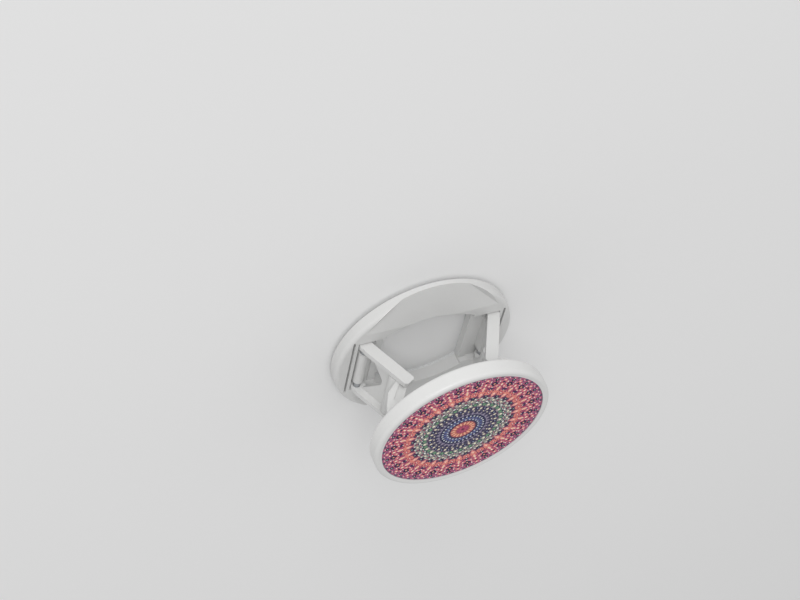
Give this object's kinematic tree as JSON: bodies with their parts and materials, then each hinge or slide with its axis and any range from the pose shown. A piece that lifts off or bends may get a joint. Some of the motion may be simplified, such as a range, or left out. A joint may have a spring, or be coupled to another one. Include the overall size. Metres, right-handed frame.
{
  "type": "phone grip",
  "caption": "Round folding grip for the back of a phone: a printed disc on two hinged legs over an open adhesive base.",
  "frame": {"origin": "centre of the adhesive face, the underside of the pad", "axes": "+Z away from the adhesive face towards the printed disc, X across the two legs, Y along the hinge pins"},
  "size_m": [0.04, 0.04, 0.0244],
  "materials": {
    "white_plastic": "satin",
    "pin_steel": "satin",
    "adhesive_foam": "matte",
    "printed_face": "satin"
  },
  "bodies": {
    "base": {"adhesive_pad": "adhesive_foam", "base_plate": "white_plastic", "base_pin_left": "pin_steel", "base_pin_right": "pin_steel"},
    "lower_left": {"lower_link_left": "white_plastic", "knee_pin_left": "pin_steel"},
    "upper_left": {"upper_link_left": "white_plastic"},
    "lower_right": {"lower_link_right": "white_plastic", "knee_pin_right": "pin_steel"},
    "upper_right": {"upper_link_right": "white_plastic"},
    "disc": {"hinge_plate": "white_plastic", "disc_shell": "white_plastic", "printed_face": "printed_face", "disc_pin_left": "pin_steel", "disc_pin_right": "pin_steel"}
  },
  "joints": [
    {"name": "fold_left", "type": "hinge", "parent": "base", "child": "lower_left", "pos_m": [-0.0145, 0, 0.0036], "axis": [0, 1, 0], "range_deg": [0, 53.5]},
    {"name": "knee_left", "type": "hinge", "parent": "lower_left", "child": "upper_left", "pos_m": [-0.01057, 0, 0.01148], "axis": [0, 1, 0], "range_deg": [-107, 0]},
    {"name": "disc_hinge", "type": "hinge", "parent": "upper_left", "child": "disc", "pos_m": [-0.0145, 0, 0.01935], "axis": [0, 1, 0], "range_deg": [0, 53.5]},
    {"name": "fold_right", "type": "hinge", "parent": "base", "child": "lower_right", "pos_m": [0.0145, 0, 0.0036], "axis": [0, 1, 0], "range_deg": [-53.5, 0]},
    {"name": "knee_right", "type": "hinge", "parent": "lower_right", "child": "upper_right", "pos_m": [0.01057, 0, 0.01148], "axis": [0, 1, 0], "range_deg": [0, 107]}
  ],
  "couplings": [
    {"joint": "knee_left", "follows": "fold_left", "ratio": -2},
    {"joint": "disc_hinge", "follows": "fold_left", "ratio": 1},
    {"joint": "fold_right", "follows": "fold_left", "ratio": -1},
    {"joint": "knee_right", "follows": "fold_left", "ratio": 2}
  ]
}
